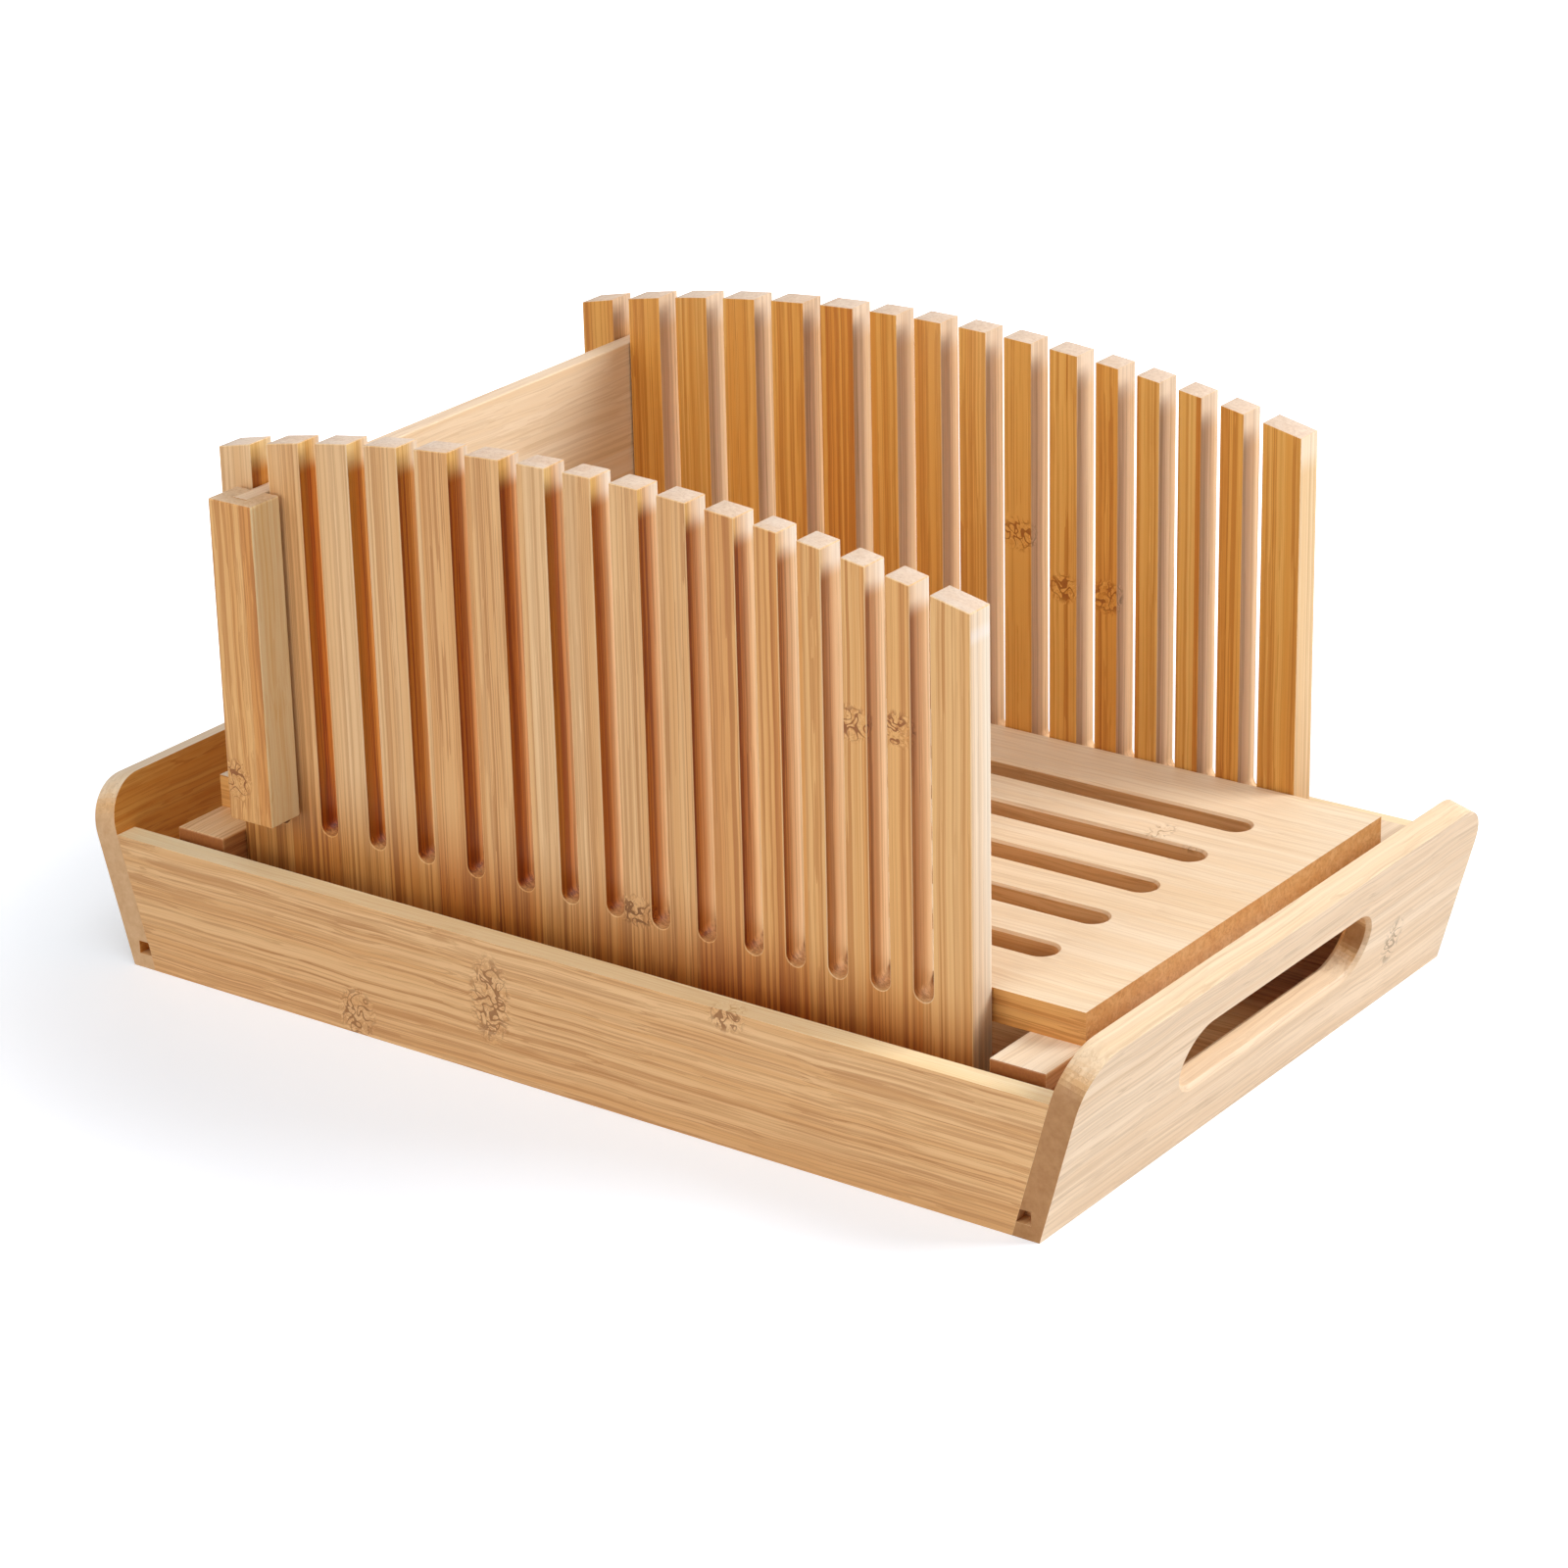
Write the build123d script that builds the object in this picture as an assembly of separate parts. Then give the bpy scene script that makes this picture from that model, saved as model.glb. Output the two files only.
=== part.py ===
from build123d import *
import os
from math import cos, radians, sin, tan

# Bamboo bread slicer guide standing in its crumb tray, all sizes in millimetres.
# The origin is on the table under the middle of the tray. +X points to the open end where the
# loaf goes in, -X to the back board, -Y is the near side and +Z is up.

# Comb panels: a knife slot beside every finger, in three slice thicknesses from the back board on
slot_width = 6.0
thick_finger = 11.2
thick_finger_count = 6
medium_finger = 9.0
medium_finger_count = 5
thin_finger = 7.2
thin_finger_count = 4
end_finger = 11.8
panel_thickness = 8.8
crown_above_board = 116.2  # top of the arch above the base board
arch_rise = 13.7  # how much lower a panel's two ends are than its crown
slot_below_board = 4.4  # how far the knife slots run down past the board's top

# Loaf space and base board
loaf_width = 150.0  # between the panels' inner faces
board_thickness = 9.4
board_side_gap = 0.4  # base board's edge to a panel
crumb_slot_count = 5
crumb_slot_width = 8.8
crumb_slot_spacing = 24.1
crumb_slot_margin = 9.0  # slot end to the cross rail
edge_ease = 0.7  # sanded chamfer along the crumb slots

# Cross rails under the base board, which also centre the guide between the tray's sides
rail_width = 16.8
rail_height = 17.0
rail_overhang = 9.0  # past a panel's outer face
rear_panel_gap = 0.4  # rear rail to panel
front_panel_gap = 10.7  # panel to front rail
panel_leg = 16.9  # how far the panels reach down past the rails, to stand on the tray's floor
leg_chamfer = 1.0

# Dowels from the panels into the board's edges
panel_dowel_radius = 2.0
panel_dowel_in_panel = 6.0
panel_dowel_in_board = 14.0
doweled_fingers = (1, 5, 9, 14)  # counted from the back board's end, from 0

# Back board with a cleat outside each panel
back_board_thickness = 5.0
back_board_height = 92.8
cleat_width = 15.2
cleat_thickness = 11.8
cleat_gap = 1.0  # panel to cleat
cleat_groove_depth = 7.5
glue_gap = 0.1

# Crumb tray
floor_thickness = 3.6
floor_lift = 4.2  # underside of the floor above the table
floor_groove_depth = 3.4
floor_groove_gap = 0.4  # floor's edge to the bottom of its groove
groove_play = 0.2  # over the floor in its groove
guide_end_play = 6.8  # mean gap from a rail's lower edge to an end wall
guide_shift = 4.0  # how far the guide stands forward of the tray's middle
guide_side_play = 2.0
side_height = 39.0
side_thickness = 7.2
end_height = 53.0  # inner top edge above the table
end_thickness = 7.8
end_flare = 15.6  # degrees outward from upright
end_corner_radius = 14.0
handle_length = 94.0
handle_height = 19.2
handle_drop = 24.0  # top edge to the middle of the handle hole
handle_ease = 1.2  # chamfer round the hole's edges
dowel_radius = 2.0
dowel_in_side = 12.0
dowel_in_end = 5.0
dowel_margin = 9.0  # from the wall's top, and above the floor
dowel_end_gap = 0.3

# Places that follow from the sizes
fingers = (
    [thick_finger] * thick_finger_count
    + [medium_finger] * medium_finger_count
    + [thin_finger] * thin_finger_count
    + [end_finger]
)
panel_length = sum(fingers) + slot_width * (len(fingers) - 1)
guide_length = 2 * rail_width + rear_panel_gap + panel_length + front_panel_gap
half_loaf = loaf_width / 2
panel_outer = half_loaf + panel_thickness
panel_middle = half_loaf + panel_thickness / 2
rail_half = panel_outer + rail_overhang

floor_top = floor_lift + floor_thickness
rail_bottom = floor_top + panel_leg
board_bottom = rail_bottom + rail_height
board_top = board_bottom + board_thickness
crown_z = board_top + crown_above_board
slot_bottom = board_top - slot_below_board

flare = radians(end_flare)
tray_half = guide_length / 2 + guide_end_play - panel_leg * tan(flare)  # inner face at the floor
tray_inner_half = rail_half + guide_side_play
tray_outer_half = tray_inner_half + side_thickness
guide_front = guide_length / 2 + guide_shift
guide_rear = guide_front - guide_length
rear_rail_face = guide_rear + rail_width
front_rail_face = guide_front - rail_width
panel_rear = rear_rail_face + rear_panel_gap
panel_front = front_rail_face - front_panel_gap

# X of the middle of each finger and of the knife slot in front of it
finger_middles = [
    panel_rear + sum(fingers[:i]) + i * slot_width + width / 2 for i, width in enumerate(fingers)
]
slot_middles = [x + (width + slot_width) / 2 for x, width in zip(finger_middles[:-1], fingers[:-1])]
back_board_x = slot_middles[0]


def block(x_range, y_range, z_range):
    """A squared board between three pairs of limits."""
    size = [high - low for low, high in (x_range, y_range, z_range)]
    middle = [(high + low) / 2 for low, high in (x_range, y_range, z_range)]
    return Pos(*middle) * Box(*size)


def rod_x(radius, x_range, y, z):
    """A round rod or drill along X."""
    length = x_range[1] - x_range[0]
    return Pos((x_range[0] + x_range[1]) / 2, y, z) * Rot(0, 90, 0) * Cylinder(radius, length)


def rod_y(radius, y_range, x, z):
    """A round rod or drill along Y."""
    length = y_range[1] - y_range[0]
    return Pos(x, (y_range[0] + y_range[1]) / 2, z) * Rot(90, 0, 0) * Cylinder(radius, length)


def far_side(shape):
    """The same piece on the far side, mirrored across the middle of the guide."""
    return mirror(shape, about=Plane.XZ)


def rear_end(shape):
    """The same tray piece at the rear end, mirrored across the middle of the tray."""
    return mirror(shape, about=Plane.YZ)


# ---- guide ----

def panel_outline():
    """Arched outline of a comb panel, drawn in X and Z."""
    shoulder = crown_z - arch_rise
    middle = (panel_rear + panel_front) / 2
    sides = Polyline(
        (panel_rear, shoulder), (panel_rear, floor_top), (panel_front, floor_top), (panel_front, shoulder)
    )
    arch = ThreePointArc((panel_front, shoulder), (middle, crown_z), (panel_rear, shoulder))
    return make_face(sides + arch)


def knife_slot(x):
    """Outline of one knife slot, open at the top and round at the bottom."""
    radius = slot_width / 2
    height = crown_z + slot_width - slot_bottom - radius
    straight = Pos(x, slot_bottom + radius + height / 2) * Rectangle(slot_width, height)
    return straight + Pos(x, slot_bottom + radius) * Circle(radius)


def near_panel_dowels(clearance):
    """Dowels from the near panel into the base board, under its fingers, or the holes for them."""
    z = board_bottom + board_thickness / 2
    ends = (-half_loaf - panel_dowel_in_panel + clearance, -half_loaf + panel_dowel_in_board - clearance)
    return [rod_y(panel_dowel_radius, ends, finger_middles[i], z) for i in doweled_fingers]


def make_near_panel():
    """Near comb panel, which is also the guide's near leg."""
    outline = panel_outline() - [knife_slot(x) for x in slot_middles]
    inner_face = Plane(origin=(0, -half_loaf, 0), x_dir=(1, 0, 0), z_dir=(0, -1, 0))
    panel = extrude(inner_face * outline, panel_thickness)
    foot = panel.faces().sort_by(Axis.Z)[0]
    panel = chamfer(foot.edges().filter_by(Axis.X), leg_chamfer)
    for dowel in near_panel_dowels(0):
        panel -= dowel
    return panel


def make_base_board():
    """Base board with rounded crumb slots along it, their upper rims sanded."""
    half = half_loaf - board_side_gap
    board = block((guide_rear, guide_front), (-half, half), (board_bottom, board_top))
    slot_rear = rear_rail_face + crumb_slot_margin
    slot_front = front_rail_face - crumb_slot_margin
    slot = extrude(SlotOverall(slot_front - slot_rear, crumb_slot_width), board_thickness)
    for i in range(crumb_slot_count):
        y = (i - (crumb_slot_count - 1) / 2) * crumb_slot_spacing
        board -= Pos((slot_rear + slot_front) / 2, y, board_bottom) * slot
    rims = [edge for wire in board.faces().sort_by(Axis.Z)[-1].inner_wires() for edge in wire.edges()]
    board = chamfer(rims, edge_ease)
    for dowel in near_panel_dowels(0):
        board = board - dowel - far_side(dowel)
    return board


def make_rail(rear, front):
    """Square cross rail, glued under the base board between two X faces."""
    return block((rear, front), (-rail_half, rail_half), (rail_bottom, board_bottom))


def make_back_board():
    """Thin board through the first slot of both panels, its ends in the cleats."""
    half = panel_outer + cleat_gap + cleat_groove_depth - glue_gap
    x = back_board_thickness / 2
    return block(
        (back_board_x - x, back_board_x + x), (-half, half), (board_top, board_top + back_board_height)
    )


def make_near_cleat():
    """Upright cleat outside the near panel, grooved for the end of the back board."""
    inner = -(panel_outer + cleat_gap)
    height = (board_top, board_top + back_board_height)
    x = cleat_width / 2
    cleat = block((back_board_x - x, back_board_x + x), (inner - cleat_thickness, inner), height)
    x = back_board_thickness / 2
    return cleat - block((back_board_x - x, back_board_x + x), (inner - cleat_groove_depth, inner), height)


# ---- tray ----

def inner_x(z):
    """X of the front end wall's inner face at a height."""
    return tray_half + (z - floor_top) * tan(flare)


def corner_dowels(clearance):
    """The dowels that join the near side wall to the front end wall, or the holes for them."""
    y = -(tray_inner_half + side_thickness / 2)
    rods = []
    for z in (floor_top + dowel_margin, side_height - dowel_margin):
        ends = (inner_x(z) - dowel_in_side + clearance, inner_x(z) + dowel_in_end - clearance)
        rods.append(rod_x(dowel_radius, ends, y, z))
    return rods


def make_front_end():
    """Flared end wall with rounded top corners, a handle hole and the groove for the floor."""
    inner_face = Plane(
        origin=(tray_half, 0, floor_top), x_dir=(0, 1, 0), z_dir=(cos(flare), 0, -sin(flare))
    )
    top = (end_height - floor_top) / cos(flare)
    foot = -(floor_top + end_thickness) / cos(flare)
    blank = Pos(0, (top + foot) / 2) * Rectangle(2 * tray_outer_half, top - foot)
    blank = fillet(blank.vertices().sort_by(Axis.Y)[-2:], end_corner_radius)
    blank -= Pos(0, top - handle_drop) * SlotOverall(handle_length, handle_height)
    wall = extrude(inner_face * blank, end_thickness)
    broad_faces = wall.faces().sort_by(SortBy.AREA)[-2:]
    rims = [edge for face in broad_faces for edge in face.inner_wires()[0].edges()]
    wall = chamfer(rims, handle_ease)
    reach = 2 * tray_half
    wall -= block((0, reach), (-reach, reach), (-reach, 0))
    wall -= block(
        (0, tray_half + floor_groove_depth), (-reach, reach), (floor_lift, floor_top + groove_play)
    )
    for dowel in corner_dowels(0):
        wall = wall - dowel - far_side(dowel)
    return wall


def make_near_side():
    """Low side wall between the end walls, cut to their flare and grooved for the floor."""
    corners = [
        (-inner_x(0), 0),
        (inner_x(0), 0),
        (inner_x(side_height), side_height),
        (-inner_x(side_height), side_height),
    ]
    inner_face = Plane(origin=(0, -tray_inner_half, 0), x_dir=(1, 0, 0), z_dir=(0, -1, 0))
    wall = extrude(inner_face * make_face(Polyline(*corners, close=True)), side_thickness)
    groove = (-tray_inner_half - floor_groove_depth, -tray_inner_half)
    reach = inner_x(side_height)
    wall -= block((-reach, reach), groove, (floor_lift, floor_top + groove_play))
    for dowel in corner_dowels(0):
        wall = wall - dowel - rear_end(dowel)
    return wall


def make_floor():
    """Thin floor panel, loose in the grooves of all four walls."""
    x = tray_half + floor_groove_depth - floor_groove_gap
    y = tray_inner_half + floor_groove_depth - floor_groove_gap
    return block((-x, x), (-y, y), (floor_lift, floor_top))


def make_tray_dowels():
    """Two dowels in each corner of the tray."""
    near_front = corner_dowels(dowel_end_gap)
    front = near_front + [far_side(dowel) for dowel in near_front]
    return Compound(children=front + [rear_end(dowel) for dowel in front])


def make_panel_dowels():
    """The dowels that hold both panels to the base board."""
    near = near_panel_dowels(dowel_end_gap)
    return Compound(children=near + [far_side(dowel) for dowel in near])


near_panel = make_near_panel()
near_cleat = make_near_cleat()
near_side = make_near_side()
front_end = make_front_end()

parts = {
    "tray_front_end": front_end,
    "tray_rear_end": rear_end(front_end),
    "tray_near_side": near_side,
    "tray_far_side": far_side(near_side),
    "tray_floor": make_floor(),
    "tray_dowels": make_tray_dowels(),
    "base_board": make_base_board(),
    "front_rail": make_rail(front_rail_face, guide_front),
    "rear_rail": make_rail(guide_rear, rear_rail_face),
    "panel_dowels": make_panel_dowels(),
    "near_panel": near_panel,
    "far_panel": far_side(near_panel),
    "back_board": make_back_board(),
    "near_cleat": near_cleat,
    "far_cleat": far_side(near_cleat),
}

os.makedirs("parts", exist_ok=True)
for name, shape in parts.items():
    export_step(shape, f"parts/{name}.step")
    box = shape.bounding_box()
    print(f"{name:16s} {box.size.X:7.1f} {box.size.Y:7.1f} {box.size.Z:7.1f}")
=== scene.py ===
import bpy
import math
import numpy as np
from mathutils import Matrix, Vector

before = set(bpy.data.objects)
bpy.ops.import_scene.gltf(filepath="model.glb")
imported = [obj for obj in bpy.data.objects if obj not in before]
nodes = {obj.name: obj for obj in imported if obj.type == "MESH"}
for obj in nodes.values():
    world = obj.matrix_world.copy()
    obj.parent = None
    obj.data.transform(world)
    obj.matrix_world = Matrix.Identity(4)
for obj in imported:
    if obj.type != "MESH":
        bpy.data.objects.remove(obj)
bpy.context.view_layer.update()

# Bread slicer guide in its crumb tray, in metres: sanded and oiled strip bamboo throughout.
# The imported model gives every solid. This file rounds the edges and gives each board its bamboo.

mm = 0.001
print("frame loaded:", len(nodes), "boards and dowels")


def hexColour(code):  # sRGB hex to linear RGBA
    parts = [int(code[i:i + 2], 16) / 255 for i in (1, 3, 5)]
    linear = [c / 12.92 if c <= 0.04045 else ((c + 0.055) / 1.055) ** 2.4 for c in parts]
    return (*linear, 1.0)


def addNode(tree, kind, settings, links):  # one shader node, its settings and what feeds it
    node = tree.nodes.new(kind)
    for key, value in settings.items():
        if isinstance(key, int) or key in node.inputs:
            node.inputs[key].default_value = value
        else:
            setattr(node, key, value)
    for socket, source in links.items():
        tree.links.new(source, node.inputs[socket])
    return node


# Strips of bamboo glued side by side, sanded and oiled: straight fibre lines run the length of each
# board, strips differ a little in tone, and short dark squiggles cross it where the cane had a
# knuckle. Real fibre bundles lie about 0.5 mm apart, and are drawn at about 1 mm so that they show.
bamboo = {
    "pale": "#EABF8A",       # between the fibres
    "mid": "#DFAD74",
    "line": "#B47A42",       # the fibre bundles
    "lineAmount": 0.55,
    "hairAmount": 0.45,      # thin dark lines between the bundles
    "fibreWidth": 1.0,       # mm, from line to line
    "fibreLength": 160.0,    # mm
    "sway": 4.0,             # mm, how far the lines wander
    "stripWidth": 20.0,      # mm, across the grain
    "stripDepth": 7.0,
    "stripContrast": 0.16,
    "endGrain": "#A97242",   # cut ends, where oil soaks in
    "endSpeck": "#CDA271",
    "endAmount": 1.0,
    "speckSize": 0.9,        # mm
    "knuckle": "#8E5828",
    "knuckles": [],          # (middle, half its size), both in mm
    "knucklePush": 7.0,      # mm, how far a knuckle pushes the fibres aside
    "curlWidth": 0.06,       # of a knuckle's dark curls, as a share of their noise
    "curlAmount": 0.8,
    "faces": [],             # painted light and shade on single faces, in outerFace's order
    "roughness": 0.5,
    "bump": 0.12,
}

# Streaks from broad to fine, as shares of a board's fibre width and fibre length
streakSets = ((3.2, 2.0), (1.0, 1.0), (0.45, 0.5))

# Thin lines: which streak draws one, the level it follows, half its width, and how dark it is
hairLines = ((0, 0.5, 0.014, 1.0), (1, 0.53, 0.022, 0.7))

# Turns object space so that the grain runs along X
grainTurn = {
    "X": (0.0, 0.0, 0.0),
    "Y": (0.0, 0.0, -math.pi / 2),
    "Z": (0.0, math.pi / 2, 0.0),
}

# The comb panels' arch is part of a circle. In mm: half its length, its rise, its crown's x and z
arch = {"half": 121.4, "rise": 13.7, "crown": (-1.15, 167.3)}
archRadius = (arch["half"] ** 2 + arch["rise"] ** 2) / (2 * arch["rise"])
archMiddle = (arch["crown"][0] * mm, 0.0, (arch["crown"][1] - archRadius) * mm)


# Painted light and shade on a face: the way the face looks, powers of red, green and blue, which
# paint it lighter below 1 and darker above, a direction or "arc", and the distances along it in mm
# where the painted tone starts and is full
def outerFace(direction, powers, reach):  # all of a face that lies further out than reach
    return (direction, powers, direction, reach - 0.5, reach + 0.5)


# board holds what differs from the bamboo above, the grain's direction and a seed
def makeBamboo(name, board):
    look = {**bamboo, **board}
    material = bpy.data.materials.new(name)
    material.use_nodes = True
    tree = material.node_tree
    tree.nodes.clear()

    def add(kind, settings=None, **links):
        return addNode(tree, kind, settings or {}, links)

    def link(source, node, socket):
        tree.links.new(source, node.inputs[socket])

    place = add("ShaderNodeTexCoord").outputs["Object"]
    grain = add(
        "ShaderNodeMapping",
        {"Rotation": grainTurn[look["grain"]], "Scale": (1 / mm, 1 / mm, 1 / mm)},
        Vector=place,
    ).outputs[0]  # millimetres, X along the grain

    # Which strip a point lies in, and that strip's own random numbers. Strips part only across the
    # grain, as 900 mm is longer than any board, and the seed moves their joints from board to board
    strip = add(
        "ShaderNodeVectorMath",
        {"operation": "SNAP", 1: (900.0, look["stripWidth"], look["stripDepth"])},
    )
    ownPlace = (450.0, look["seed"] * 3.7, 0.13)
    shifted = add("ShaderNodeVectorMath", {"operation": "ADD", 1: ownPlace})
    link(grain, shifted, 0)
    link(shifted.outputs[0], strip, 0)
    chance = add("ShaderNodeTexWhiteNoise", {"noise_dimensions": "3D"}, Vector=strip.outputs[0])

    # Knuckles: a soft patch round each, 0 outside and 1 in the middle
    knuckleSum = None
    for centre, size in look["knuckles"]:
        near = add(
            "ShaderNodeMapping",
            {
                "vector_type": "TEXTURE",
                "Location": tuple(c * mm for c in centre),
                "Scale": tuple(s * mm for s in size),
            },
            Vector=place,
        )
        away = add("ShaderNodeVectorMath", {"operation": "LENGTH"})
        link(near.outputs[0], away, 0)
        patch = add(
            "ShaderNodeMapRange",
            {"interpolation_type": "SMOOTHSTEP", "From Min": 1.15, "From Max": 0.55},
            Value=away.outputs["Value"],
        )
        if knuckleSum is None:
            knuckleSum = patch.outputs[0]
        else:
            joined = add("ShaderNodeMath", {"operation": "MAXIMUM"})
            link(knuckleSum, joined, 0)
            link(patch.outputs[0], joined, 1)
            knuckleSum = joined.outputs[0]

    # Fibres wander over some 50 mm, and a knuckle pushes them aside in swirls 3 mm across
    wander = add(
        "ShaderNodeTexNoise",
        {"Scale": 0.02, "Detail": 2.0, "Roughness": 0.5},
        Vector=grain,
    )
    sway = add("ShaderNodeVectorMath", {"operation": "SCALE", "Scale": look["sway"]})
    link(wander.outputs["Color"], sway, 0)
    swayed = add("ShaderNodeVectorMath", {"operation": "ADD"})
    link(grain, swayed, 0)
    link(sway.outputs[0], swayed, 1)
    flow = swayed.outputs[0]
    if knuckleSum:
        swirl = add(
            "ShaderNodeTexNoise", {"Scale": 0.32, "Detail": 2.0, "Distortion": 1.2}, Vector=grain
        )
        middle = add("ShaderNodeVectorMath", {"operation": "SUBTRACT", 1: (0.5, 0.5, 0.5)})
        link(swirl.outputs["Color"], middle, 0)
        push = add("ShaderNodeMath", {"operation": "MULTIPLY", 1: look["knucklePush"]})
        link(knuckleSum, push, 0)
        bend = add("ShaderNodeVectorMath", {"operation": "SCALE"})
        link(middle.outputs[0], bend, 0)
        link(push.outputs[0], bend, "Scale")
        bent = add("ShaderNodeVectorMath", {"operation": "ADD"})
        link(flow, bent, 0)
        link(bend.outputs[0], bent, 1)
        flow = bent.outputs[0]

    # Sets of long thin streaks, each strip's taken from another place in the noise
    own = add("ShaderNodeVectorMath", {"operation": "SCALE", "Scale": 40.0})
    link(chance.outputs["Color"], own, 0)
    streaks = []
    for widthShare, lengthShare in streakSets:
        width, length = look["fibreWidth"] * widthShare, look["fibreLength"] * lengthShare
        stretch = add(
            "ShaderNodeMapping",
            {"Scale": (1 / length, 1 / width, 1 / width), "Location": (look["seed"], 2.0, 5.0)},
            Vector=flow,
        )
        moved = add("ShaderNodeVectorMath", {"operation": "ADD"})
        link(stretch.outputs[0], moved, 0)
        link(own.outputs[0], moved, 1)
        streak = add(
            "ShaderNodeTexNoise",
            {"Scale": 1.0, "Detail": 2.0, "Roughness": 0.5},
            Vector=moved.outputs[0],
        )
        streaks.append(streak.outputs["Fac"])

    broad = add("ShaderNodeMapRange", {"From Min": 0.36, "From Max": 0.64}, Value=streaks[0])
    base = add(
        "ShaderNodeMix",
        {"data_type": "RGBA", 6: hexColour(look["pale"]), 7: hexColour(look["mid"])},
        Factor=broad.outputs[0],
    )
    lineMask = add(
        "ShaderNodeMapRange",
        {
            "interpolation_type": "SMOOTHSTEP",
            "From Min": 0.5,
            "From Max": 0.66,
            "To Max": look["lineAmount"],
        },
        Value=streaks[1],
    )
    lined = add("ShaderNodeMix", {"data_type": "RGBA", 7: hexColour(look["line"])})
    link(lineMask.outputs[0], lined, 0)
    link(base.outputs[2], lined, 6)
    fineMask = add(
        "ShaderNodeMapRange",
        {"From Min": 0.5, "From Max": 0.8, "To Max": look["lineAmount"] * 0.6},
        Value=streaks[2],
    )
    fine = add("ShaderNodeMix", {"data_type": "RGBA", 7: hexColour(look["line"])})
    link(fineMask.outputs[0], fine, 0)
    link(lined.outputs[2], fine, 6)
    colour = fine.outputs[2]

    # Thin dark lines where a streak passes one level: sharp, unbroken, and about a millimetre apart
    for number, level, halfWidth, share in hairLines:
        hair = add("ShaderNodeMath", {"operation": "COMPARE", 1: level, 2: halfWidth})
        link(streaks[number], hair, 0)
        thinned = add("ShaderNodeMath", {"operation": "MULTIPLY", 1: look["hairAmount"] * share})
        link(hair.outputs[0], thinned, 0)
        haired = add("ShaderNodeMix", {"data_type": "RGBA", 7: hexColour(look["line"])})
        link(thinned.outputs[0], haired, 0)
        link(colour, haired, 6)
        colour = haired.outputs[2]

    # Each strip a little paler, or darker and deeper
    tone = add(
        "ShaderNodeMapRange",
        {"To Min": 1 - look["stripContrast"] * 0.5, "To Max": 1 + look["stripContrast"]},
        Value=chance.outputs["Value"],
    )
    toned = add("ShaderNodeVectorMath", {"operation": "POWER"})
    link(colour, toned, 0)
    link(tone.outputs[0], toned, 1)
    colour = toned.outputs[0]

    # A knuckle's curls: contour lines of a noise that is 4 mm from bump to bump
    if knuckleSum:
        squiggle = add(
            "ShaderNodeTexNoise", {"Scale": 0.27, "Detail": 0.0, "Distortion": 1.3}, Vector=grain
        )
        mark = add("ShaderNodeMath", {"operation": "COMPARE", 1: 0.5, 2: look["curlWidth"]})
        link(squiggle.outputs["Fac"], mark, 0)
        drawn = add("ShaderNodeMath", {"operation": "MULTIPLY"})
        link(knuckleSum, drawn, 0)
        link(mark.outputs[0], drawn, 1)
        faded = add("ShaderNodeMath", {"operation": "MULTIPLY", 1: look["curlAmount"]})
        link(drawn.outputs[0], faded, 0)
        knotted = add("ShaderNodeMix", {"data_type": "RGBA", 7: hexColour(look["knuckle"])})
        link(faded.outputs[0], knotted, 0)
        link(colour, knotted, 6)
        colour = knotted.outputs[2]

    # Painted light and shade: faces where light falls are painted paler and shaded ones deeper. A
    # face takes its tone when it looks within about 25 degrees of the way named, and none of it
    # past 63
    normal = add("ShaderNodeNewGeometry").outputs["True Normal"]
    for facing, powers, along, start, full in look["faces"]:
        towards = add("ShaderNodeVectorMath", {"operation": "DOT_PRODUCT", 1: facing})
        link(normal, towards, 0)
        turned = add(
            "ShaderNodeMapRange",
            {"interpolation_type": "SMOOTHSTEP", "From Min": 0.45, "From Max": 0.9},
            Value=towards.outputs["Value"],
        )
        if along == "arc":  # measured from the middle of the arch's circle
            side = add("ShaderNodeVectorMath", {"operation": "MULTIPLY", 1: (1.0, 0.0, 1.0)})
            distance = add("ShaderNodeVectorMath", {"operation": "DISTANCE", 1: archMiddle})
            link(place, side, 0)
            link(side.outputs[0], distance, 0)
        else:
            distance = add("ShaderNodeVectorMath", {"operation": "DOT_PRODUCT", 1: along})
            link(place, distance, 0)
        reached = add(
            "ShaderNodeMapRange",
            {"interpolation_type": "SMOOTHSTEP", "From Min": start * mm, "From Max": full * mm},
            Value=distance.outputs["Value"],
        )
        amount = add("ShaderNodeMath", {"operation": "MULTIPLY"})
        link(turned.outputs[0], amount, 0)
        link(reached.outputs[0], amount, 1)
        changed = add("ShaderNodeVectorMath", {"operation": "POWER", 1: powers})
        link(colour, changed, 0)
        faced = add("ShaderNodeMix", {"data_type": "RGBA"})
        link(amount.outputs[0], faced, 0)
        link(colour, faced, 6)
        link(changed.outputs[0], faced, 7)
        colour = faced.outputs[2]

    # Painted shade: the foot of a board that stands in the tray is darker, reaching higher towards
    # its rear end
    if "foot" in look:
        upwards, low, high, tone = look["foot"]
        height = add("ShaderNodeVectorMath", {"operation": "DOT_PRODUCT", 1: upwards})
        link(place, height, 0)
        depth = add(
            "ShaderNodeMapRange",
            {"interpolation_type": "SMOOTHSTEP", "From Min": high * mm, "From Max": low * mm},
            Value=height.outputs["Value"],
        )
        shadedFoot = add("ShaderNodeVectorMath", {"operation": "POWER", 1: tone})
        link(colour, shadedFoot, 0)
        footed = add("ShaderNodeMix", {"data_type": "RGBA"})
        link(depth.outputs[0], footed, 0)
        link(colour, footed, 6)
        link(shadedFoot.outputs[0], footed, 7)
        colour = footed.outputs[2]

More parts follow.
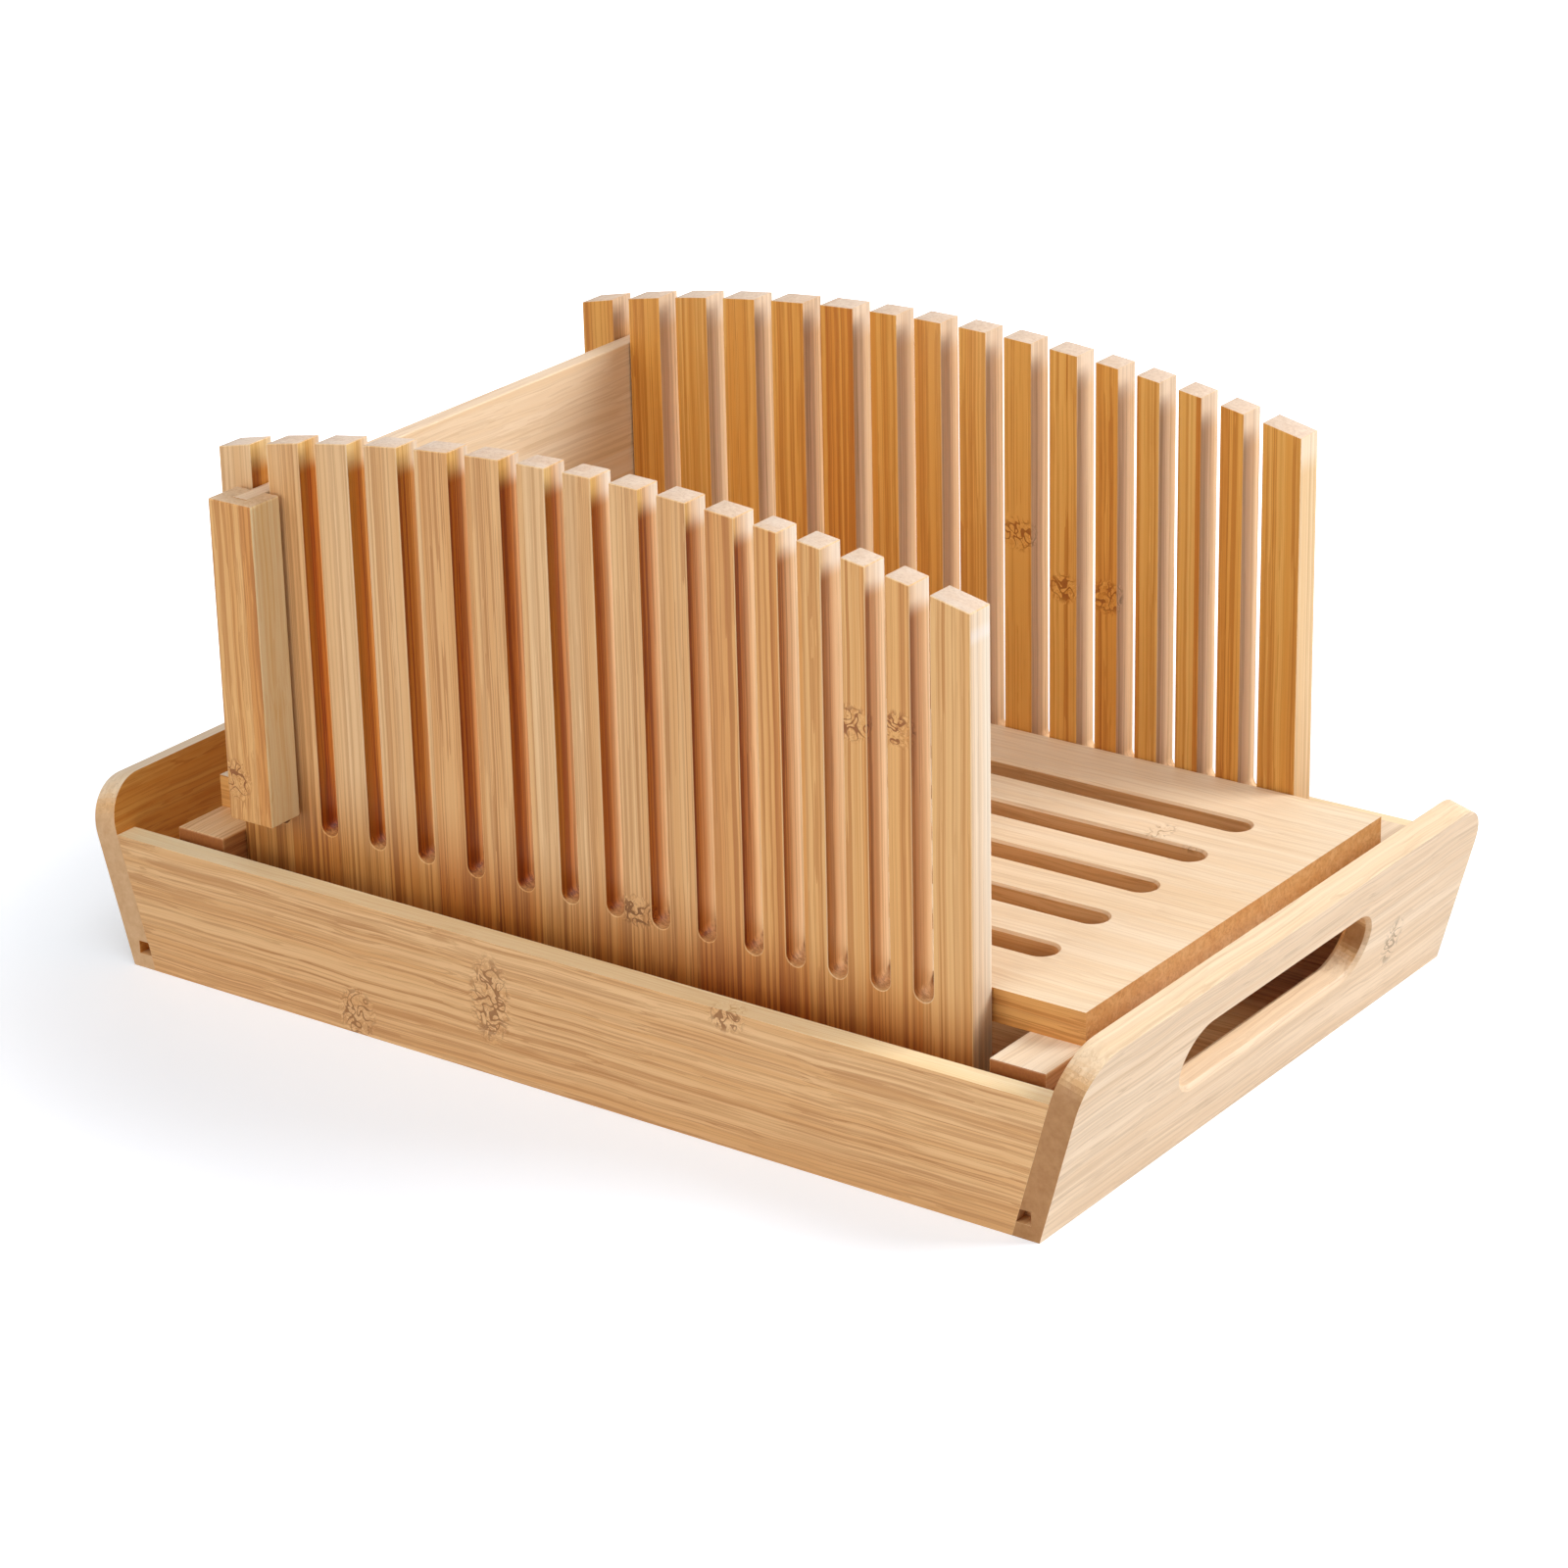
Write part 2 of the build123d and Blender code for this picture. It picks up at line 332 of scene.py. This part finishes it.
    # Cut ends: faces square to the grain show the bundles as fine dark specks
    along = {"X": (1.0, 0.0, 0.0), "Y": (0.0, 1.0, 0.0), "Z": (0.0, 0.0, 1.0)}[look["grain"]]
    facing = add("ShaderNodeVectorMath", {"operation": "DOT_PRODUCT", 1: along})
    link(normal, facing, 0)
    square = add("ShaderNodeMath", {"operation": "ABSOLUTE"})
    link(facing.outputs["Value"], square, 0)
    isEnd = add(
        "ShaderNodeMapRange",
        {
            "interpolation_type": "SMOOTHSTEP",
            "From Min": 0.8,
            "From Max": 0.97,
            "To Max": look["endAmount"],
        },
        Value=square.outputs[0],
    )
    specks = add(
        "ShaderNodeTexNoise",
        {"Scale": 1 / look["speckSize"], "Detail": 3.0, "Roughness": 0.65},
        Vector=grain,
    )
    speckTone = add(
        "ShaderNodeMix",
        {"data_type": "RGBA", 6: hexColour(look["endGrain"]), 7: hexColour(look["endSpeck"])},
        Factor=specks.outputs["Fac"],
    )
    ended = add("ShaderNodeMix", {"data_type": "RGBA"})
    link(isEnd.outputs[0], ended, 0)
    link(colour, ended, 6)
    link(speckTone.outputs[2], ended, 7)

    # Oiled by hand: half matt, with the bundles standing 0.15 mm proud at most
    relief = add(
        "ShaderNodeBump", {"Strength": look["bump"], "Distance": 0.15 * mm}, Height=streaks[1]
    )
    matt = add(
        "ShaderNodeMapRange",
        {"To Min": look["roughness"] - 0.06, "To Max": look["roughness"] + 0.08},
        Value=streaks[1],
    )
    shader = add("ShaderNodeBsdfPrincipled", {"IOR": 1.47})
    link(ended.outputs[2], shader, "Base Color")
    link(matt.outputs[0], shader, "Roughness")
    link(relief.outputs[0], shader, "Normal")
    add("ShaderNodeOutputMaterial", Surface=shader.outputs[0])
    return material


# Sanded edges on one board, its bamboo, and another bamboo for the edges where rim is given: a
# paler one, partly rubbed wear and partly painted highlight
def finishBoard(nodeName, material, radius, rim=None):
    board = nodes[nodeName]
    board.data.materials.clear()
    board.data.materials.append(material)
    if rim:
        board.data.materials.append(rim)
    weld = board.modifiers.new("joinCorners", "WELD")
    weld.merge_threshold = 0.002 * mm
    flat = board.modifiers.new("wholeFaces", "DECIMATE")
    flat.decimate_type = "DISSOLVE"
    flat.angle_limit = math.radians(1.0)
    edges = board.modifiers.new("sandedEdges", "BEVEL")
    edges.limit_method = "ANGLE"
    edges.angle_limit = math.radians(35)
    edges.width = radius * mm
    edges.segments = 2
    edges.use_clamp_overlap = True
    if rim:
        edges.material = 1


# The tray: end walls whose cut ends are darker at the front and paler at the rear, painted shade
# and painted light on one end grain, and sides with pale rims, partly rubbed wear and partly
# painted highlight. Each board's "edge" is how far its edges are rounded, in mm
trayEnds = {
    "grain": "Y", "stripWidth": 26.0, "stripContrast": 0.08, "lineAmount": 0.35, "hairAmount": 0.35,
    "speckSize": 2.4, "seed": 2.0, "edge": 0.6,
    "knuckles": [((157.4, 64.6, 20.3), (5.0, 5.0, 9.0)), ((-157.0, -30.0, 20.0), (5.0, 5.0, 9.0))],
}
traySides = {
    "grain": "X", "stripWidth": 60.0, "stripDepth": 13.0, "stripContrast": 0.1,
    "fibreWidth": 0.8, "fibreLength": 120.0, "sway": 2.5, "seed": 4.0, "edge": 1.0,
    # Painted light on the tops of the sides
    "faces": [outerFace((0, 0, 1), (0.32, 0.38, 0.48), 38.0)],
    "knuckles": [
        ((-21.5, -102.0, 22.3), (7.0, 4.0, 13.0)),
        ((-68.8, -102.0, 6.0), (6.5, 4.0, 8.0)),
        ((56.6, -101.0, 37.6), (6.0, 5.0, 5.0)),
    ],
}
# Paler rims of the sides: partly rubbed wear and partly painted highlight
sideEdgeWearAndHighlight = {"pale": "#F3D3A2", "mid": "#EDC48E", "line": "#D9A468"}
trayFloor = {"grain": "X", "stripWidth": 24.0, "stripDepth": 20.0, "seed": 7.0, "edge": 0.3}

endCutGrainLitAndShaded = {1: ("#96602F", "#BF8F5A"), -1: ("#BC8853", "#E3BD90")}  # cut ends, front and rear: one end grain with painted shade at the front and painted light at the rear
for nodeName, outward in (("tray_front_end", 1), ("tray_rear_end", -1)):
    # Painted light on the outer face and the top, painted shade on the inner face
    endLightAndShade = [
        outerFace((outward, 0, 0), (0.85, 0.68, 0.6), 140.0),
        outerFace((-outward, 0, 0), (1.0, 1.4, 1.75), -170.0),
        outerFace((0, 0, 1), (0.65, 0.58, 0.55), 12.0),
    ]
    cut = {"endGrain": endCutGrainLitAndShaded[outward][0], "endSpeck": endCutGrainLitAndShaded[outward][1]}
    end = {**trayEnds, **cut, "seed": trayEnds["seed"] + outward, "faces": endLightAndShade}
    endBamboo = makeBamboo("sandedBambooEnd" + str(2 - outward), end)
    finishBoard(nodeName, endBamboo, trayEnds["edge"])
for number, nodeName in enumerate(("tray_near_side", "tray_far_side")):
    side = {**traySides, "seed": traySides["seed"] + number}
    # The rims take the paler bamboo, partly rubbed wear and partly painted highlight, without the
    # painted light and shade of the faces
    rim = {**side, **sideEdgeWearAndHighlight, "faces": []}
    sideRim = makeBamboo("roundedBambooSide" + str(number + 1), rim)
    sideBamboo = makeBamboo("sandedBambooSide" + str(number + 1), side)
    finishBoard(nodeName, sideBamboo, side["edge"], sideRim)
finishBoard("tray_floor", makeBamboo("sandedBambooFloor", trayFloor), trayFloor["edge"])
print("tray finished")

# The guide: comb panels with long straight fibres, and the boards between them
combPanels = {
    "grain": "Z", "endAmount": 0.28, "stripWidth": 40.0, "stripDepth": 17.5, "stripContrast": 0.3,
    "fibreLength": 500.0, "sway": 1.2, "edge": 0.45,
    # The foot's painted shade: which way is up, the heights where it is full and where it ends, and
    # its powers
    "foot": ((0.08, 0, 1), 32.0, 64.0, (2.05, 1.85, 1.95)),
}
# Painted light on the panels' tops and their rear ends
combTopAndEndLight = [
    outerFace((0, 0, 1), (0.5, 0.42, 0.34), 145.0),
    outerFace((-1, 0, 0), (0.6, 0.5, 0.45), 121.0),
]
# Sawn walls of the knife slots, with painted shade at the near mouth and painted light towards the
# loaf and at their tips under the arch; painted shade on the near face towards the front, and
# painted light on the front end
nearSlotLightAndShade = [
    ((1, 0, 0), (2.0, 2.1, 2.7), (0.04, 1, 0), -74.0, -82.0),
    ((1, 0, 0), (0.82, 0.66, 0.64), (0, 1, 0), -80.0, -73.0),
    ((1, 0, 0), (0.42, 0.4, 0.38), "arc", archRadius - 9.0, archRadius - 4.0),
    ((1, 0, 0), (2.38, 2.5, 2.63), (3, 0, 1), 506.5, 511.0),  # undoes that on the last finger's end
    ((0, -1, 0), (1.12, 1.25, 1.35), (1, 0, 0), 20.0, 70.0),
    outerFace((1, 0, 0), (0.72, 0.57, 0.5), 119.0),
]
# Painted light on the far panel's slot walls, more at their tips under the arch
farSlotLight = [
    ((1, 0, 0), (0.95, 0.85, 0.82), (0, 1, 0), 60.0, 61.0),
    ((1, 0, 0), (0.7, 0.65, 0.6), "arc", archRadius - 11.0, archRadius - 4.0),
]
combEdgeWearAndHighlight = {"pale": "#F3D3A4", "mid": "#EFC792", "line": "#DDAA70"}  # the rounded edges, paler: partly sanded wear and partly painted highlight
# Painted light on the far panel's front end
farEndLight = outerFace((1, 0, 0), (0.95, 0.95, 1.0), 119.0)
loafSideShade = (0.97, 1.15, 1.5)  # painted shade on the faces towards the loaf
nearKnuckles = [
    ((14.9, -83.8, 49.9), (7.0, 4.0, 4.5)),
    ((85.0, -83.8, 117.8), (6.0, 4.0, 5.0)),
    ((98.3, -83.8, 118.9), (6.0, 4.0, 5.0)),
]
farKnuckles = [
    ((30.6, 75.0, 110.1), (6.5, 4.0, 5.0)),
    ((45.3, 75.0, 96.9), (5.0, 4.0, 4.5)),
    ((59.8, 75.0, 96.8), (6.5, 4.0, 5.0)),
]
baseBoard = {
    "grain": "X", "endAmount": 0.3, "stripWidth": 30.0, "stripDepth": 4.7, "stripContrast": 0.1,
    "lineAmount": 0.4, "hairAmount": 0.3, "seed": 13.0, "edge": 0.45,
    # Painted light on the top, painted shade on the front end and the near edge
    "faces": [
        outerFace((0, 0, 1), (0.55, 0.5, 0.48), 50.0),
        outerFace((1, 0, 0), (1.1, 1.08, 1.2), 140.0),
        outerFace((0, -1, 0), (1.4, 1.42, 1.55), 70.0),
    ],
    "knuckles": [((115.2, 24.0, 51.1), (4.0, 6.0, 3.0)), ((103.1, 33.7, 51.1), (4.0, 6.0, 3.0))],
}
# Rails: their cut ends are darker end grain with painted shade in it
rails = {
    "grain": "Y", "stripWidth": 6.0, "endGrain": "#8A4718", "endSpeck": "#B06C2E",
    "seed": 15.0, "edge": 0.45,
}
backBoard = {
    "grain": "Y", "endAmount": 0.8, "stripWidth": 22.0, "seed": 18.0, "edge": 0.4,
    # Painted light on the faces looking to the front and on the top
    "faces": [
        outerFace((1, 0, 0), (0.5, 0.44, 0.45), -200.0),
        outerFace((0, 0, 1), (0.5, 0.5, 0.46), 140.0),
    ],
}
cleats = {
    "grain": "Z", "endAmount": 0.4, "stripWidth": 30.0, "seed": 20.0, "edge": 0.6,
    # Painted light on the tops and the faces looking to the front, painted shade on the near faces
    "faces": [
        outerFace((0, 0, 1), (0.55, 0.52, 0.5), 140.0),
        outerFace((1, 0, 0), (0.26, 0.4, 0.55), -200.0),
        outerFace((0, -1, 0), (1.15, 1.25, 1.35), 90.0),
    ],
    "knuckles": [((-113.1, -96.6, 63.2), (6.0, 6.0, 6.0))],
}

for nodeName, label, seed, knuckles, walls, inside in (
    ("near_panel", "NearComb", 11.0, nearKnuckles, nearSlotLightAndShade, (0, 1, 0)),
    ("far_panel", "FarComb", 12.0, farKnuckles, farSlotLight + [farEndLight], (0, -1, 0)),
):
    panel = {**combPanels, "seed": seed}
    panelLightAndShade = walls + combTopAndEndLight + [outerFace(inside, loafSideShade, -100.0)]
    panelWithLightAndShade = {**panel, "knuckles": knuckles, "faces": panelLightAndShade}
    panelBamboo = makeBamboo("sandedBamboo" + label, panelWithLightAndShade)
    # Rounded edges in the paler bamboo: partly sanded wear and partly painted highlight
    rimBamboo = makeBamboo("roundedBamboo" + label, {**panel, **combEdgeWearAndHighlight})
    finishBoard(nodeName, panelBamboo, panel["edge"], rimBamboo)
finishBoard("base_board", makeBamboo("sandedBambooBase", baseBoard), baseBoard["edge"])
# Painted light on the rails' tops, much more on the front rail's, and on faces looking to the front
railTopLight = {"front_rail": (0.55, 0.46, 0.42), "rear_rail": (0.9, 0.88, 0.86)}
for number, (nodeName, topLight) in enumerate(railTopLight.items()):
    railLight = [
        outerFace((0, 0, 1), topLight, 40.0),
        outerFace((1, 0, 0), (0.8, 0.75, 0.75), 100.0),
    ]
    rail = {**rails, "seed": rails["seed"] + number, "faces": railLight}
    finishBoard(nodeName, makeBamboo("sandedBambooRail" + str(number + 1), rail), rail["edge"])
finishBoard("back_board", makeBamboo("sandedBambooBack", backBoard), backBoard["edge"])
for number, nodeName in enumerate(("near_cleat", "far_cleat")):
    cleat = {**cleats, "seed": cleats["seed"] + number}
    finishBoard(nodeName, makeBamboo("sandedBambooCleat" + str(number + 1), cleat), cleat["edge"])
print("guide finished")

# Dowels: turned birch, close and plain, a shade paler than the bamboo round it
dowels = {
    "stripWidth": 50.0, "stripDepth": 50.0, "lineAmount": 0.3, "endAmount": 0.5,
    "pale": "#EBD3AC", "mid": "#E0C294", "line": "#CDA975", "edge": 0.3,
}
trayBirch = makeBamboo("turnedBirchTrayDowels", {**dowels, "grain": "X", "seed": 30.0})
panelBirch = makeBamboo("turnedBirchPanelDowels", {**dowels, "grain": "Y", "seed": 31.0})
finishBoard("tray_dowels", trayBirch, dowels["edge"])
finishBoard("panel_dowels", panelBirch, dowels["edge"])
print("dowels finished")

floor = {
    "half": 6.0,                  # m
    "squares": 4,                 # along each side
    "colour": "#E8EDF5",
    "lift": 0.3,                  # added brightness where shadows show
    "shadowReach": (0.17, 0.36),  # m from the middle, where its shadows start to fade and end
}

# A flat sheet: x and y go evenly from -half to half over a square grid, z is 0
across = floor["squares"] + 1
steps = np.linspace(-floor["half"], floor["half"], across)
gridX, gridY = np.meshgrid(steps, steps)
points = np.stack([gridX, gridY, np.zeros_like(gridX)], axis=-1).reshape(-1, 3)
corner = (np.arange(across - 1)[:, None] * across + np.arange(across - 1)).reshape(-1)
quads = np.stack([corner, corner + 1, corner + across + 1, corner + across], axis=-1)
sheet = bpy.data.meshes.new("paleFloor")
sheet.from_pydata(points.tolist(), [], quads.tolist())
paleFloor = bpy.data.objects.new("paleFloor", sheet)
bpy.context.scene.collection.objects.link(paleFloor)

# Matt white studio paper: even and soft, and pure white to the camera away from the object
paper = bpy.data.materials.new("mattStudioPaper")
paper.use_nodes = True
tree = paper.node_tree
tree.nodes.clear()
spot = addNode(tree, "ShaderNodeTexCoord", {}, {})
away = addNode(tree, "ShaderNodeVectorMath", {"operation": "LENGTH"}, {0: spot.outputs["Object"]})
fade = addNode(
    tree, "ShaderNodeMapRange",
    {
        "interpolation_type": "SMOOTHSTEP",
        "From Min": floor["shadowReach"][0],
        "From Max": floor["shadowReach"][1],
        "To Min": floor["lift"],
    },
    {"Value": away.outputs["Value"]},
)
seen = addNode(tree, "ShaderNodeLightPath", {}, {})
white = addNode(
    tree, "ShaderNodeMath", {"operation": "MULTIPLY"},
    {0: seen.outputs["Is Camera Ray"], 1: fade.outputs[0]},
)
matt = addNode(
    tree, "ShaderNodeBsdfPrincipled",
    {
        "Base Color": hexColour(floor["colour"]),
        "Roughness": 0.9,
        "Emission Color": (1.0, 1.0, 1.0, 1.0),
    },
    {"Emission Strength": white.outputs[0]},
)
addNode(tree, "ShaderNodeOutputMaterial", {}, {"Surface": matt.outputs[0]})
sheet.materials.append(paper)
print("floor laid")

# Soft boxes round the object, with the key behind it on the right. Places and sizes are in metres
light = {
    "world": 0.16,
    "target": (0.0, 0.0, 0.05),
    "key": {"from": (1.4, 0.95, 1.2), "size": 1.0, "watts": 36.5},
    "overhead": {"from": (0.2, -0.6, 1.75), "size": 1.2, "watts": 12.0},
    "back": {"from": (0.5, 1.9, 0.8), "size": 1.8, "watts": 6.0},
    "fill": {"from": (-0.5, -2.0, 0.7), "size": 1.3, "watts": 17.5},
}

world = bpy.data.worlds.new("whiteStudio")
bpy.context.scene.world = world
world.use_nodes = True
world.node_tree.nodes.clear()
air = world.node_tree

# Pure white to the camera, in gloss and through glass, and dim as a light
path = addNode(air, "ShaderNodeLightPath", {}, {})
mirror = addNode(
    air, "ShaderNodeMath", {"operation": "MAXIMUM"},
    {0: path.outputs["Is Camera Ray"], 1: path.outputs["Is Glossy Ray"]},
)
through = addNode(
    air, "ShaderNodeMath", {"operation": "MAXIMUM"},
    {0: mirror.outputs[0], 1: path.outputs["Is Transmission Ray"]},
)
strength = addNode(
    air, "ShaderNodeMapRange", {"To Min": light["world"], "To Max": 1.0},
    {"Value": through.outputs[0]},
)
sky = addNode(
    air, "ShaderNodeBackground", {"Color": (1.0, 1.0, 1.0, 1.0)}, {"Strength": strength.outputs[0]}
)
addNode(air, "ShaderNodeOutputWorld", {}, {"Surface": sky.outputs[0]})

for lampName in ("key", "overhead", "back", "fill"):
    lampData = bpy.data.lights.new(lampName, "AREA")
    lampData.size = light[lampName]["size"]
    lampData.energy = light[lampName]["watts"]
    lamp = bpy.data.objects.new(lampName, lampData)
    bpy.context.scene.collection.objects.link(lamp)
    lamp.location = light[lampName]["from"]
    aim = Vector(light["target"]) - lamp.location
    lamp.rotation_euler = aim.to_track_quat("-Z", "Y").to_euler()
print("lights up")

# A long lens, from the front right and a little above
view = {
    "at": (710.399, -964.659, 546.344),  # mm
    "yaw": 36.2931,                      # degrees left of looking along +Y
    "down": 22.3619,
    "roll": -1.3440,
    "focal": 107.654,                    # mm
    "sensor": 36.0,                      # mm wide
}

yaw, down, roll = (math.radians(view[key]) for key in ("yaw", "down", "roll"))
forward = Vector((-math.sin(yaw) * math.cos(down), math.cos(yaw) * math.cos(down), -math.sin(down)))
level = Vector((math.cos(yaw), math.sin(yaw), 0.0))
upright = level.cross(forward)
right = math.cos(roll) * level + math.sin(roll) * upright
top = -math.sin(roll) * level + math.cos(roll) * upright
cameraData = bpy.data.cameras.new("photoView")
cameraData.sensor_fit = "HORIZONTAL"
cameraData.sensor_width = view["sensor"]
cameraData.lens = view["focal"]
cameraData.clip_end = 20.0
camera = bpy.data.objects.new("photoView", cameraData)
bpy.context.scene.collection.objects.link(camera)
turn = Matrix((right, top, -forward)).transposed()
camera.matrix_world = Matrix.Translation(Vector(view["at"]) * mm) @ turn.to_4x4()
bpy.context.scene.camera = camera
bpy.context.scene.view_settings.view_transform = "Standard"
print("camera set")
